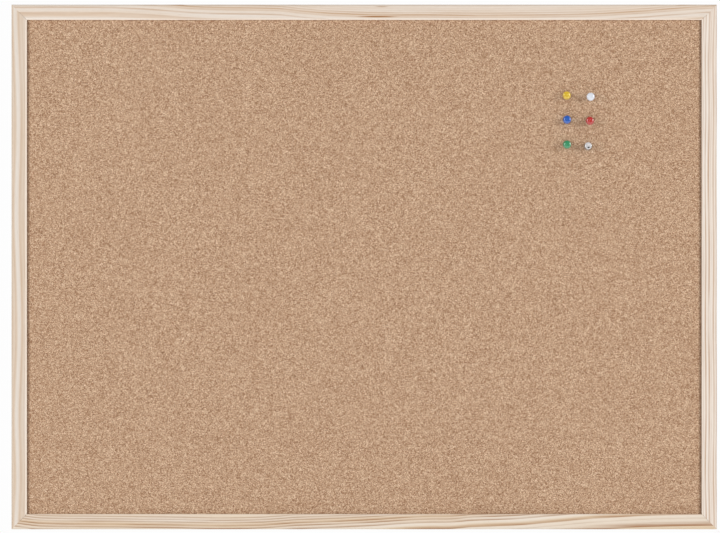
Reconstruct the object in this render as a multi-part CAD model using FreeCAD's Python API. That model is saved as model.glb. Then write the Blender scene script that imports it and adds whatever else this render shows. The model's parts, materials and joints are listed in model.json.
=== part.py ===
"""Framed cork bulletin board, wall hung, with six push pins.

Millimetres, +X to the right along the top rail, +Z up, the board's front faces -Y.
The wall plane is Y = 0. The origin is midway between the entry holes of the two keyhole hangers.

From front to back the board is a stack: cork sheet, softboard core, hardboard back. The stack sits in a
groove in the inner edge of four mitred pine rails, held there by V-nails driven across each mitre.
"""

import FreeCAD
import Part

import math
import os

from FreeCAD import Rotation, Vector

# Driving dimensions of the board
BOARD_WIDTH = 800.0
BOARD_HEIGHT = 595.0
RAIL_FACE = 17.2  # width of a rail seen from the front
FRONT_LIP = 4.0  # wood in front of the cork
CORK_THICK = 2.0
SOFTBOARD_THICK = 5.5
HARDBOARD_THICK = 2.0
BACK_LIP = 6.5  # wood behind the hardboard
GROOVE_DEPTH = 6.2
PANEL_PLAY = 0.3  # gap between the stack's edge and the bottom of the groove
OUTER_ARRIS = 1.8  # rounding of the rail's front edges
INNER_ARRIS = 1.0
BACK_ARRIS = 0.5

PANEL_THICK = CORK_THICK + SOFTBOARD_THICK + HARDBOARD_THICK
DEPTH = FRONT_LIP + PANEL_THICK + BACK_LIP
CORK_FACE_Y = FRONT_LIP - DEPTH
GROOVE_BACK_Y = -BACK_LIP

# Keyhole hangers, set flush in the back of the top rail
HANGER_SPACING = 640.0
PLATE_LENGTH = 44.0
PLATE_HEIGHT = 14.0
PLATE_THICK = 1.2
PLATE_CORNER = 3.0
PLATE_CENTRE_Z = 1.8  # above the entry hole's centre
ENTRY_RADIUS = 4.0
SLOT_RADIUS = 2.2
SLOT_RISE = 4.4  # from the entry hole's centre up to the centre of the slot's end
POCKET_RADIUS = 5.0
POCKET_RISE = 3.4
POCKET_DEEP = 4.4  # room behind the plate for a screw's head
SCREW_REACH = 16.0  # each screw's distance from the keyhole
SCREW_Z = 3.8
SCREW_RADIUS = 1.5
SCREW_HEAD_RADIUS = 2.8
SCREW_HEAD_DEPTH = 1.5
SCREW_LENGTH = 12.0
SCREW_TIP = 2.5
RECESS_LENGTH = 3.2  # cross recess in the screw's head
RECESS_WIDTH = 0.9
RECESS_DEEP = 0.7

TOP_Z = PLATE_CENTRE_Z + RAIL_FACE / 2
CENTRE_Z = TOP_Z - BOARD_HEIGHT / 2

# V-nails, driven flush from the back across each mitre
NAIL_LEG = 4.6
NAIL_THICK = 0.5
NAIL_DEEP = 10.0
NAIL_PLACES = (4.2, 8.6)  # each V's point, in from the corner's two outer edges

# Push pins
NEEDLE_RADIUS = 0.6
NEEDLE_IN_HEAD = 8.0
NEEDLE_BARE = 9.5  # needle below the head
NEEDLE_TIP = 2.6
TIP_RADIUS = 0.1
PIN_DEPTH = 7.2  # how far a needle is pushed into the board
HOLE_PLAY = 0.05
HOLE_END_PLAY = 0.15
HEAD_HEIGHT = 12.5
FLANGE_RADIUS = 4.65
WAIST_RADIUS = 2.4
DISC_RADIUS = 3.95
CROWN_RADIUS = 1.3  # flat middle of the disc, inside its dome

# colour: where the needle enters the cork, right and up from the board's centre, and the head's lean
# to the right and up in degrees
PINS = {
    "yellow": ((229.7, 194.5), (-1.0, -0.5)),
    "white": ((256.9, 193.1), (-2.5, -1.5)),
    "blue": ((230.1, 167.1), (-1.0, -0.5)),
    "red": ((256.0, 165.7), (-1.5, 0.5)),
    "green": ((230.0, 138.9), (0.0, -1.5)),
    "clear": ((253.7, 136.7), (-1.0, 2.0)),
}


def rail(length):
    """A mitred rail lying along X, outer edge up at Z = 0, back at Y = 0, centred on X = 0."""
    front, inner, web = -DEPTH, -RAIL_FACE, -(RAIL_FACE - GROOVE_DEPTH)
    outline = Part.makePolygon(
        [
            Vector(0, 0, 0),
            Vector(0, front, 0),
            Vector(0, front, inner),
            Vector(0, CORK_FACE_Y, inner),
            Vector(0, CORK_FACE_Y, web),
            Vector(0, GROOVE_BACK_Y, web),
            Vector(0, GROOVE_BACK_Y, inner),
            Vector(0, 0, inner),
            Vector(0, 0, 0),
        ]
    )
    bar = Part.Face(outline).extrude(Vector(length, 0, 0))
    bar.translate(Vector(-length / 2, 0, 0))
    for radius, y, z in (
        (OUTER_ARRIS, front, 0),
        (INNER_ARRIS, front, inner),
        (BACK_ARRIS, 0, 0),
    ):
        edges = [e for e in bar.Edges if runs_along(e, y, z, length)]
        bar = bar.makeFillet(radius, edges)
    mitred = Part.makePolygon(
        [
            Vector(-length / 2, 0, 0),
            Vector(length / 2, 0, 0),
            Vector(length / 2 + inner, 0, inner),
            Vector(-length / 2 - inner, 0, inner),
            Vector(-length / 2, 0, 0),
        ]
    )
    return bar.common(Part.Face(mitred).extrude(Vector(0, -DEPTH, 0)))


def runs_along(edge, y, z, length):
    """True for the full-length edge along X at that y and z."""
    middle = edge.BoundBox.Center
    return abs(edge.Length - length) < 1e-6 and abs(middle.y - y) + abs(middle.z - z) < 1e-6


def frame_rails():
    """The four rails, each turned to its side of the board about the board's centre."""
    sides = {
        "top": (BOARD_WIDTH, BOARD_HEIGHT, 0),
        "right": (BOARD_HEIGHT, BOARD_WIDTH, 90),
        "bottom": (BOARD_WIDTH, BOARD_HEIGHT, 180),
        "left": (BOARD_HEIGHT, BOARD_WIDTH, 270),
    }
    rails = {}
    for side, (length, across, turn) in sides.items():
        shape = rail(length)
        shape.translate(Vector(0, 0, across / 2))
        shape.rotate(Vector(0, 0, 0), Vector(0, 1, 0), turn)
        shape.translate(Vector(0, 0, CENTRE_Z))
        rails[side] = shape
    return rails


def sheet(thickness, front_y):
    """One layer of the stack, front face at front_y, reaching into the groove all round."""
    margin = RAIL_FACE - GROOVE_DEPTH + PANEL_PLAY
    width = BOARD_WIDTH - 2 * margin
    height = BOARD_HEIGHT - 2 * margin
    corner = Vector(-width / 2, front_y, CENTRE_Z - height / 2)
    return Part.makeBox(width, thickness, height, corner)


def v_nail(sign_x, sign_z, place):
    """One V-nail in the corner at (sign_x, sign_z), its point on the mitre and one leg in each rail."""
    x = sign_x * (BOARD_WIDTH / 2 - place)
    z = CENTRE_Z + sign_z * (BOARD_HEIGHT / 2 - place)
    point, along_x, along_z = Vector(x, 0, z), Vector(-sign_x, 0, 0), Vector(0, 0, -sign_z)
    outline = [
        point,
        point + along_x * NAIL_LEG,
        point + along_x * NAIL_LEG + along_z * NAIL_THICK,
        point + (along_x + along_z) * NAIL_THICK,
        point + along_z * NAIL_LEG + along_x * NAIL_THICK,
        point + along_z * NAIL_LEG,
        point,
    ]
    return Part.Face(Part.makePolygon(outline)).extrude(Vector(0, -NAIL_DEEP, 0))


def corner_nails():
    """Corner name to that corner's nails."""
    corners = {
        "top_left": (-1, 1),
        "top_right": (1, 1),
        "bottom_left": (-1, -1),
        "bottom_right": (1, -1),
    }
    return {
        corner: [v_nail(sign_x, sign_z, place) for place in NAIL_PLACES]
        for corner, (sign_x, sign_z) in corners.items()
    }


def upright_slot(radius, rise, depth, start_y):
    """A round-ended slot standing up from Z = 0, cut forwards from start_y."""
    lower = Part.makeCylinder(radius, depth, Vector(0, start_y, 0), Vector(0, -1, 0))
    upper = Part.makeCylinder(radius, depth, Vector(0, start_y, rise), Vector(0, -1, 0))
    middle = Part.makeBox(2 * radius, depth, rise, Vector(-radius, start_y - depth, 0))
    return lower.fuse([upper, middle]).removeSplitter()


def hanger_blank():
    """The plate's outline as a solid, before its holes."""
    corner = Vector(-PLATE_LENGTH / 2, -PLATE_THICK, PLATE_CENTRE_Z - PLATE_HEIGHT / 2)
    blank = Part.makeBox(PLATE_LENGTH, PLATE_THICK, PLATE_HEIGHT, corner)
    edges = [e for e in blank.Edges if abs(e.BoundBox.YLength - PLATE_THICK) < 1e-6]
    return blank.makeFillet(PLATE_CORNER, edges)


def screw_body():
    """A countersunk screw with its head flush at the origin and its point forwards."""
    shank_end = -(SCREW_LENGTH - SCREW_TIP)
    outline = Part.makePolygon(
        [
            Vector(0, 0, 0),
            Vector(SCREW_HEAD_RADIUS, 0, 0),
            Vector(SCREW_RADIUS, -SCREW_HEAD_DEPTH, 0),
            Vector(SCREW_RADIUS, shank_end, 0),
            Vector(0, -SCREW_LENGTH, 0),
            Vector(0, 0, 0),
        ]
    )
    return Part.Face(outline).revolve(Vector(0, 0, 0), Vector(0, 1, 0), 360)


def cross_recess():
    """The cross cut into a screw's head."""
    corner = Vector(-RECESS_LENGTH / 2, -RECESS_DEEP, -RECESS_WIDTH / 2)
    arm = Part.makeBox(RECESS_LENGTH, RECESS_DEEP, RECESS_WIDTH, corner)
    other = arm.copy()
    other.rotate(Vector(0, 0, 0), Vector(0, 1, 0), 90)
    return arm.fuse(other).removeSplitter()


def hanger():
    """One keyhole hanger about its entry hole: the plate, its screws, and what the rail loses to them."""
    spots = [Vector(side * SCREW_REACH, 0, SCREW_Z) for side in (-1, 1)]
    bodies = [moved(screw_body(), spot) for spot in spots]
    recesses = [moved(cross_recess(), spot) for spot in spots]
    entry = Part.makeCylinder(ENTRY_RADIUS, PLATE_THICK, Vector(0, 0, 0), Vector(0, -1, 0))
    keyhole = entry.fuse(upright_slot(SLOT_RADIUS, SLOT_RISE, PLATE_THICK, 0)).removeSplitter()
    plate = hanger_blank().cut([keyhole, *bodies])
    screws = [body.cut(recess) for body, recess in zip(bodies, recesses)]
    pocket = upright_slot(POCKET_RADIUS, POCKET_RISE, POCKET_DEEP, -PLATE_THICK)
    return plate, screws, [hanger_blank(), pocket, *bodies]


def moved(shape, offset):
    copy = shape.copy()
    copy.translate(offset)
    return copy


def head_profile():
    """Half outline of a push pin's head about +Z, from the flange's underside at Z = 0 up to the disc."""
    flange_top = Vector(FLANGE_RADIUS - 0.3, 0, 1.5)
    waist_low = Vector(WAIST_RADIUS, 0, 4.6)
    waist_high = Vector(WAIST_RADIUS + 0.2, 0, HEAD_HEIGHT - 3.9)
    disc_under = Vector(DISC_RADIUS - 0.3, 0, HEAD_HEIGHT - 2.3)
    disc_edge = Vector(DISC_RADIUS, 0, HEAD_HEIGHT - 1.6)
    disc_shoulder = Vector(DISC_RADIUS - 0.02, 0, HEAD_HEIGHT - 1.0)
    dome_foot = Vector(DISC_RADIUS - 0.25, 0, HEAD_HEIGHT - 0.46)
    dome_top = Vector(CROWN_RADIUS, 0, HEAD_HEIGHT)
    foot, crown = Vector(0, 0, 0), Vector(0, 0, HEAD_HEIGHT)
    flange_foot = Vector(FLANGE_RADIUS - 0.45, 0, 0)
    edges = [
        Part.LineSegment(foot, flange_foot),
        Part.Arc(flange_foot, Vector(FLANGE_RADIUS, 0, 0.75), flange_top),
        Part.Arc(flange_top, Vector(WAIST_RADIUS + 0.5, 0, 2.6), waist_low),
        Part.LineSegment(waist_low, waist_high),
        Part.Arc(waist_high, Vector(WAIST_RADIUS + 0.4, 0, HEAD_HEIGHT - 2.9), disc_under),
        Part.Arc(disc_under, disc_edge, disc_shoulder),
        Part.Arc(disc_shoulder, Vector(DISC_RADIUS - 0.08, 0, HEAD_HEIGHT - 0.65), dome_foot),
        Part.Arc(dome_foot, Vector(2 * CROWN_RADIUS, 0, HEAD_HEIGHT - 0.13), dome_top),
        Part.LineSegment(dome_top, crown),
        Part.LineSegment(crown, foot),
    ]
    return Part.Wire([edge.toShape() for edge in edges])


def needle():
    """A needle about +Z, its blunt end inside the head, with the head's underside at Z = 0."""
    outline = Part.makePolygon(
        [
            Vector(0, 0, NEEDLE_IN_HEAD),
            Vector(NEEDLE_RADIUS, 0, NEEDLE_IN_HEAD),
            Vector(NEEDLE_RADIUS, 0, NEEDLE_TIP - NEEDLE_BARE),
            Vector(TIP_RADIUS, 0, -NEEDLE_BARE),
            Vector(0, 0, -NEEDLE_BARE),
            Vector(0, 0, NEEDLE_IN_HEAD),
        ]
    )
    return Part.Face(outline).revolve(Vector(0, 0, 0), Vector(0, 0, 1), 360)


def pin_placement(entry, lean):
    """Turns a pin's own +Z out of the board, leaning as told, with its needle pushed in to PIN_DEPTH."""
    right, up = (math.tan(math.radians(angle)) for angle in lean)
    axis = Vector(right, -1, up).normalize()
    surface = Vector(entry[0], CORK_FACE_Y, CENTRE_Z + entry[1])
    flange = surface + axis * (NEEDLE_BARE - PIN_DEPTH)
    return FreeCAD.Placement(flange, Rotation(Vector(0, 0, 1), axis))


def push_pins():
    """Colour to (head, needle, the hole that the needle makes in the board)."""
    steel = needle()
    plastic = Part.Face(head_profile()).revolve(Vector(0, 0, 0), Vector(0, 0, 1), 360).cut(steel)
    proud = 1.0  # the hole's cutter stands out of the cork by this much
    length = PIN_DEPTH + HOLE_END_PLAY + proud
    hole_end = Vector(0, 0, -NEEDLE_BARE - HOLE_END_PLAY)
    hole = Part.makeCylinder(NEEDLE_RADIUS + HOLE_PLAY, length, hole_end)
    pins = {}
    for colour, (entry, lean) in PINS.items():
        place = pin_placement(entry, lean)
        pins[colour] = [shape.transformed(place.toMatrix()) for shape in (plastic, steel, hole)]
        axis = place.Rotation.multVec(Vector(0, 0, 1))
        print(f"pin_{colour} slides along {axis.x:.6f} {axis.y:.6f} {axis.z:.6f}")
    return pins


def export(name, *solids):
    """Writes one node. A node of identical fasteners is a compound of separate solids."""
    shape = solids[0] if len(solids) == 1 else Part.makeCompound(list(solids))
    shape.exportStep(f"parts/{name}.step")
    print(f"{name}: {len(shape.Solids)} solid(s), {shape.Volume:.1f} mm3, valid {shape.isValid()}")


def main():
    os.makedirs("parts", exist_ok=True)
    rails = frame_rails()

    for corner, nails in corner_nails().items():
        export(f"v_nails_{corner}", *nails)
        for side in corner.split("_"):
            rails[side] = rails[side].cut(nails)

    plate, screws, seat = hanger()
    for side, x in (("left", -HANGER_SPACING / 2), ("right", HANGER_SPACING / 2)):
        place = Vector(x, 0, 0)
        export(f"hanger_plate_{side}", moved(plate, place))
        export(f"hanger_screws_{side}", *[moved(screw, place) for screw in screws])
        rails["top"] = rails["top"].cut([moved(cutter, place) for cutter in seat])

    for side, shape in rails.items():
        export(f"frame_rail_{side}", shape)

    pins = push_pins()
    holes = [hole for _, _, hole in pins.values()]
    softboard_y = CORK_FACE_Y + CORK_THICK
    export("cork_sheet", sheet(CORK_THICK, CORK_FACE_Y).cut(holes))
    export("softboard_core", sheet(SOFTBOARD_THICK, softboard_y).cut(holes))
    export("hardboard_back", sheet(HARDBOARD_THICK, softboard_y + SOFTBOARD_THICK))

    for colour, (head, steel, _) in pins.items():
        export(f"pin_{colour}_head", head)
        export(f"pin_{colour}_needle", steel)


main()
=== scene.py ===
"""Looks of the framed cork bulletin board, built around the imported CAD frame.

Metres, +X right, +Z up, the cork faces -Y and the wall plane is Y = 0. Meshes are built in their own
millimetre frames and scaled once, when they become objects.
"""

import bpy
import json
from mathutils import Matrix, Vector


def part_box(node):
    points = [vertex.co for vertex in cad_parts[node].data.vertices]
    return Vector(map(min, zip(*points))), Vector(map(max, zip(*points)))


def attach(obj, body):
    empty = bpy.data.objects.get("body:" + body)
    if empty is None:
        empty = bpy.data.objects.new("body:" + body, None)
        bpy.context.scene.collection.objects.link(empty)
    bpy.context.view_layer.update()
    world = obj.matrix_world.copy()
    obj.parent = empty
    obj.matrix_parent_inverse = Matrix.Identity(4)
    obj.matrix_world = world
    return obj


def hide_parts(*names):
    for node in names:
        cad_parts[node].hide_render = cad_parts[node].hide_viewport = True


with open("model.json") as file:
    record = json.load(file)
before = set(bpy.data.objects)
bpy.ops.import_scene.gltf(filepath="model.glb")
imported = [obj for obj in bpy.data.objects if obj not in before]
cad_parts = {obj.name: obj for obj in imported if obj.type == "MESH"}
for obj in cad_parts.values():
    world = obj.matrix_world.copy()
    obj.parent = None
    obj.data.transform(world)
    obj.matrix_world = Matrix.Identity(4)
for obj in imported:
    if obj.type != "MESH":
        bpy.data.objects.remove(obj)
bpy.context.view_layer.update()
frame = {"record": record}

import json
import math

import bmesh
import bpy
from mathutils import Matrix, Vector, noise

MM = 0.001
BODY = "board"
TINY = 1e-6
SMOOTH_ANGLE = 35.0  # faces that meet at less are shaded as one surface

# ---------------- the frame's own measures, in millimetres


def box_mm(node):
    """A node's lowest and highest corner in millimetres."""
    low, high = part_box(node)
    return Vector(low) / MM, Vector(high) / MM


TOP_LOW, TOP_HIGH = box_mm("frame_rail_top")
BOTTOM_LOW, _ = box_mm("frame_rail_bottom")
CORK_LOW, CORK_HIGH = box_mm("cork_sheet")
_, HARD_HIGH = box_mm("hardboard_back")
WIDTH = TOP_HIGH.x - TOP_LOW.x
HEIGHT = TOP_HIGH.z - BOTTOM_LOW.z
CENTRE_Z = (TOP_HIGH.z + BOTTOM_LOW.z) / 2
RAIL_FACE = TOP_HIGH.z - TOP_LOW.z
FRONT_Y, BACK_Y = TOP_LOW.y, TOP_HIGH.y
CORK_Y = CORK_LOW.y
GROOVE_BACK_Y = HARD_HIGH.y
PANEL_PLAY = 0.3  # gap between the panels' edges and the bottom of the groove
WEB = TOP_HIGH.z - CORK_HIGH.z - PANEL_PLAY  # wood between the groove and the outer edge
OUTER_ARRIS, INNER_ARRIS, BACK_ARRIS = 1.8, 1.0, 0.5
RAMP_START, RAMP_END = -27.0, 22.0  # what a rail's drawn rings cover, measured in from its outer edge
PATH_LOW, PATH_SPAN = -5.0, 35.0  # the least shift of a rail's grain, and how much more it can be

# the needles' measures are the CAD's; a head's are used by its profile and by the clear pin's material
NEEDLE_BARE, NEEDLE_IN_HEAD, NEEDLE_RADIUS, NEEDLE_TIP = 9.5, 8.0, 0.6, 2.6
FLANGE_RADIUS, WAIST_RADIUS, DISC_RADIUS, HEAD_HEIGHT = 4.65, 2.4, 3.95, 12.5
COLOURS = ("yellow", "white", "blue", "red", "green", "clear")


# ---------------- helpers


def add_object(name, bm, smooth_angle=SMOOTH_ANGLE, matrix=None):
    """Turns a bmesh in millimetres into an object in metres, placed by a matrix in millimetres."""
    if matrix is not None:
        bm.transform(matrix)
    bm.transform(Matrix.Scale(MM, 4))
    bmesh.ops.recalc_face_normals(bm, faces=bm.faces)
    mesh = bpy.data.meshes.new(name)
    bm.to_mesh(mesh)
    bm.free()
    mesh.shade_smooth()
    mesh.set_sharp_from_angle(angle=math.radians(smooth_angle))
    made = bpy.data.objects.new(name, mesh)
    bpy.context.scene.collection.objects.link(made)
    return made


def carve(target, cutters):
    """Cuts each cutter out of the target's mesh, and removes the cutters."""
    for cutter in cutters:
        cut = target.modifiers.new("cut", "BOOLEAN")
        cut.operation = "DIFFERENCE"
        cut.solver = "EXACT"
        cut.object = cutter
    apply_modifiers(target)
    target.data.set_sharp_from_angle(angle=math.radians(SMOOTH_ANGLE))
    for cutter in cutters:
        bpy.data.objects.remove(cutter)
    # large flat faces keep their own direction, so that only the rounded edges shade round
    target.modifiers.new("weigh", "WEIGHTED_NORMAL").keep_sharp = True
    apply_modifiers(target)


def apply_modifiers(target):
    """Gives the target the mesh that its modifiers make."""
    bpy.context.view_layer.update()
    graph = bpy.context.evaluated_depsgraph_get()
    mesh = bpy.data.meshes.new_from_object(target.evaluated_get(graph), depsgraph=graph)
    target.modifiers.clear()
    target.data = mesh


def finish_piece(piece, material, node, body=BODY):
    """Gives a piece its material and its body, and hides the CAD node that it stands for."""
    piece.data.materials.clear()
    piece.data.materials.append(material)
    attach(piece, body)
    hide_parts(node)


def arc(centre, radius, start, end, steps):
    """Points along an arc in a plane, from one angle in degrees to another."""
    angles = [math.radians(start + (end - start) * i / steps) for i in range(steps + 1)]
    return [(centre[0] + radius * math.cos(a), centre[1] + radius * math.sin(a)) for a in angles]


def bridge(bm, low, high):
    """Joins two closed loops of as many vertices by a band of faces."""
    for i in range(len(low)):
        j = (i + 1) % len(low)
        bm.faces.new((low[i], low[j], high[j], high[i]))


def prism(outline, y_front, y_back):
    """A bmesh solid between two Y planes, its outline given as (x, z) points."""
    bm = bmesh.new()
    front = [bm.verts.new((x, y_front, z)) for x, z in outline]
    back = [bm.verts.new((x, y_back, z)) for x, z in outline]
    bm.faces.new(front)
    bm.faces.new(reversed(back))
    count = len(outline)
    for i in range(count):
        j = (i + 1) % count
        bm.faces.new((front[i], back[i], back[j], front[j]))
    return bm


def lathe(profile, sides, wobble=None):
    """A bmesh turned about +Z from (radius, z) points that start and end on the axis."""
    bm = bmesh.new()
    rings = []
    for radius, z in profile:
        if radius < TINY:
            rings.append([bm.verts.new((0, 0, z))])
            continue
        ring = []
        for i in range(sides):
            turn = 2 * math.pi * i / sides
            r = radius if wobble is None else wobble(radius, z, turn)
            ring.append(bm.verts.new((r * math.cos(turn), r * math.sin(turn), z)))
        rings.append(ring)
    for low, high in zip(rings, rings[1:]):
        if len(low) == len(high):
            bridge(bm, low, high)
            continue
        for i in range(sides):
            j = (i + 1) % sides
            if len(low) == 1:
                bm.faces.new((low[0], high[i], high[j]))
            else:
                bm.faces.new((low[i], low[j], high[0]))
    return bm


# ---------------- shader helpers


class Shader:
    """A node material put together line by line. Textures read object coordinates in millimetres."""

    def __init__(self, name):
        self.material = bpy.data.materials.new(name)
        self.material.use_nodes = True
        self.tree = self.material.node_tree
        self.bsdf = self.tree.nodes["Principled BSDF"]

    def add(self, kind, inputs=(), **settings):
        node = self.tree.nodes.new(kind)
        for key, value in settings.items():
            setattr(node, key, value)
        for key, value in dict(inputs).items():
            self.feed(node.inputs[key], value)
        return node

    def feed(self, socket, value):
        if isinstance(value, bpy.types.NodeSocket):
            self.tree.links.new(value, socket)
        else:
            socket.default_value = value

    def place(self, location=(0, 0, 0), rotation=(0, 0, 0), scale=(1, 1, 1)):
        """Object coordinates in millimetres about a place, turned, and divided by scale."""
        coords = self.add("ShaderNodeTexCoord").outputs["Object"]
        values = {
            "Vector": coords,
            "Location": [v * MM for v in location],
            "Rotation": rotation,
            "Scale": [v * MM for v in scale],
        }
        return self.add("ShaderNodeMapping", values, vector_type="TEXTURE").outputs["Vector"]

    def math(self, operation, *values):
        inputs = dict(enumerate(values))
        return self.add("ShaderNodeMath", inputs, operation=operation).outputs[0]

    def noise(self, vector, scale, detail=2.0, rough=0.5, distortion=0.0):
        values = {"Vector": vector, "Scale": scale, "Detail": detail, "Roughness": rough}
        return self.add("ShaderNodeTexNoise", {**values, "Distortion": distortion}).outputs["Fac"]

    def cells(self, vector, scale, feature="F1"):
        values = {"Vector": vector, "Scale": scale}
        return self.add("ShaderNodeTexVoronoi", values, feature=feature)

    def combine(self, x, y, z=0.0):
        return self.add("ShaderNodeCombineXYZ", {0: x, 1: y, 2: z}).outputs[0]

    def split(self, vector):
        return self.add("ShaderNodeSeparateXYZ", {0: vector}).outputs[:3]

    def length(self, vector):
        return self.add("ShaderNodeVectorMath", {0: vector}, operation="LENGTH").outputs["Value"]

    def random_of(self, colour):
        """One even random number from a cell's random colour."""
        return self.add("ShaderNodeSeparateColor", {"Color": colour}).outputs[0]

    def ramp(self, factor, stops, blend="LINEAR"):
        """A colour ramp; each stop is (position, grey or colour)."""
        node = self.add("ShaderNodeValToRGB", {"Fac": factor})
        ramp = node.color_ramp
        ramp.interpolation = blend
        while len(ramp.elements) < len(stops):
            ramp.elements.new(0.5)
        for element, (position, colour) in zip(ramp.elements, stops):
            element.position = position
            element.color = (colour,) * 3 + (1,) if isinstance(colour, float) else (*colour, 1)
        return node.outputs["Color"]

    def mix(self, factor, a, b, blend="MIX"):
        node = self.add("ShaderNodeMix", data_type="RGBA", blend_type=blend)
        for socket, value in ((node.inputs[0], factor), (node.inputs[6], a), (node.inputs[7], b)):
            if isinstance(value, (tuple, list)):
                value = (*value, 1)
            self.feed(socket, value)
        return node.outputs[2]

    def bump(self, height, distance_mm, strength=1.0, normal=None):
        values = {"Height": height, "Distance": distance_mm * MM, "Strength": strength}
        if normal is not None:
            values["Normal"] = normal
        return self.add("ShaderNodeBump", values).outputs["Normal"]

    def surface(self, **inputs):
        for key, value in inputs.items():
            socket = self.bsdf.inputs[key.replace("_", " ")]
            if isinstance(value, tuple) and socket.type == "RGBA":
                value = (*value, 1)
            self.feed(socket, value)
        return self.material


def srgb(red, green, blue):
    """An 8-bit display colour as linear light."""

    def linear(value):
        share = value / 255
        return ((share + 0.055) / 1.055) ** 2.4 if share > 0.04045 else share / 12.92

    return linear(red), linear(green), linear(blue)


# ---------------- materials


def pith_distance(look, place):
    """From a rail's pith to a place on its face, given in millimetres from the outer edge."""
    pith_y, pith_z = look["pith"]
    return math.hypot(FRONT_Y - pith_y, -place - pith_z)


def ring_stops(look, bands):
    """Bands across the rail's face as ramp stops over the distance from the pith."""
    near, far = pith_distance(look, RAMP_START), pith_distance(look, RAMP_END)
    return [((near - pith_distance(look, place)) / (near - far), value) for place, value in bands]


def pine_material(name, length, across, look):
    """Raw pine. Growth rings are cylinders about a far pith that wanders along the rail."""
    turn = look["turn"]
    s = Shader(name)
    # x runs along the rail, y into its depth, z is 0 at its outer edge and falls towards its inner edge
    edge = (math.sin(turn) * across / 2, 0, CENTRE_Z + math.cos(turn) * across / 2)
    local = s.place(edge, (0, turn, 0))
    along, depth, out = s.split(local)

    wander_at = s.combine(s.math("DIVIDE", along, look["wave"]), look["seed"])
    wander = s.math("SUBTRACT", s.noise(wander_at, 1.0, 1.5, 0.4), 0.5)
    path_at = s.math("MULTIPLY_ADD", along, 1 / length, 0.5)
    path = s.ramp(path_at, [(at, (shift - PATH_LOW) / PATH_SPAN) for at, shift in look["path"]], "B_SPLINE")
    path = s.math("MULTIPLY_ADD", path, PATH_SPAN, PATH_LOW)
    drift = s.math("MULTIPLY_ADD", wander, 2 * look["drift"], path)
    pith_y, pith_z = look["pith"]
    ring_y = s.math("SUBTRACT", depth, pith_y)
    ring_z = s.math("ADD", s.math("SUBTRACT", out, pith_z), drift)
    radius = s.length(s.combine(0.0, ring_y, ring_z))
    near, far = pith_distance(look, RAMP_START), pith_distance(look, RAMP_END)
    across_at = s.math("DIVIDE", s.math("SUBTRACT", near, radius), near - far)

    bands = [(RAMP_START, 0.0)]
    for place, width, strength in look["rings"]:
        bands += [(place - 0.14 * width, 0.0), (place, strength), (place + width, 0.0)]
    drawn = s.ramp(across_at, ring_stops(look, bands))
    count = s.math("DIVIDE", radius, look["spacing"])
    year = [(0.0, 0.10), (0.35, 0.0), (0.72, 0.55), (0.9, 1.0), (0.97, 0.1)]
    every = s.ramp(s.math("FRACT", count), year)
    strength_at = s.combine(s.math("FLOOR", count), look["seed"] * 1.7)
    strength = s.add("ShaderNodeTexWhiteNoise", {"Vector": strength_at}).outputs["Value"]
    every = s.math("MULTIPLY", every, s.math("MULTIPLY_ADD", strength, 0.7, 0.3))
    faint = s.ramp(across_at, [(0.0, 0.8), (0.03, look["faint"]), (0.97, look["faint"]), (1.0, 0.8)])
    late = s.math("MAXIMUM", drawn, s.math("MULTIPLY", every, faint))

    def stretched(scale, detail, rough=0.5):
        """Noise drawn out along the rail."""
        return s.noise(s.place(edge, (0, turn, 0), scale), 1.0, detail, rough)

    fibre = stretched((26, 0.42, 0.42), 3.0, 0.62)
    patch = stretched((120, 30, 7), 1.0)
    pore = s.ramp(stretched((9, 0.3, 0.3), 0.0), [(0.66, 0.0), (0.76, 1.0)])
    fade = s.ramp(stretched((70, 8, 2.5), 1.0), [(0.3, 0.45), (0.6, 1.0)])  # breaks in the lines

    tone = s.ramp(across_at, ring_stops(look, look["tones"]), "EASE")
    tone = s.math("ADD", tone, s.math("MULTIPLY_ADD", patch, 0.9, -0.45))
    pale = s.mix(s.math("MINIMUM", s.math("MAXIMUM", tone, 0.0), 1.0), look["pale"], look["warm"])
    shade = s.math("MULTIPLY", s.math("MULTIPLY", late, fade), look["contrast"])
    colour = s.mix(shade, pale, look["late"])
    colour = s.mix(s.ramp(fibre, [(0.3, 0.0), (0.7, 0.12)]), colour, srgb(186, 148, 110))
    colour = s.mix(s.math("MULTIPLY", pore, 0.10), colour, srgb(150, 112, 80))
    for streak_along, streak_out, reach_along, width, strongest in look["streaks"]:
        gone = s.math("DIVIDE", s.math("SUBTRACT", along, streak_along), reach_along / 2)
        off = s.math("SUBTRACT", out, streak_out)
        aside = s.math("DIVIDE", s.math("MULTIPLY_ADD", wander, 1.2, off), width / 2)
        gap = s.length(s.combine(gone, aside))
        mark = s.ramp(gap, [(0.3, strongest), (1.0, 0.0)], "EASE")
        colour = s.mix(mark, colour, srgb(150, 100, 44))

    face_at = s.math("DIVIDE", out, -RAIL_FACE)
    # painted highlight: the inner edge of the face is lightened, as if its rounded edge caught the lamps
    inner = s.ramp(face_at, [(0.915, 0.0), (0.965, look["inner_edge_highlight"])])
    colour = s.mix(inner, colour, srgb(252, 240, 226))
    # painted shade: the outer edge of the front is greyed, as if its rounded edge turned away from the lamps
    front = s.ramp(s.math("SUBTRACT", depth, FRONT_Y), [(0.3, 1.0), (1.0, 0.0)])
    outer = s.ramp(face_at, [(0.0, look["outer_edge_shade"]), (0.1, look["outer_edge_shade"]), (0.15, 0.0)])
    outer = s.math("MULTIPLY", front, outer)
    colour = s.mix(outer, colour, srgb(160, 150, 136))

    relief = s.bump(late, 0.06, 0.8)
    relief = s.bump(fibre, 0.05, 0.9, relief)
    relief = s.bump(pore, 0.05, 0.5, relief)
    rough = s.ramp(fibre, [(0.3, 0.52), (0.7, 0.68)])
    return s.surface(Base_Color=colour, Roughness=rough, Normal=relief, Specular_IOR_Level=0.3)


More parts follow.
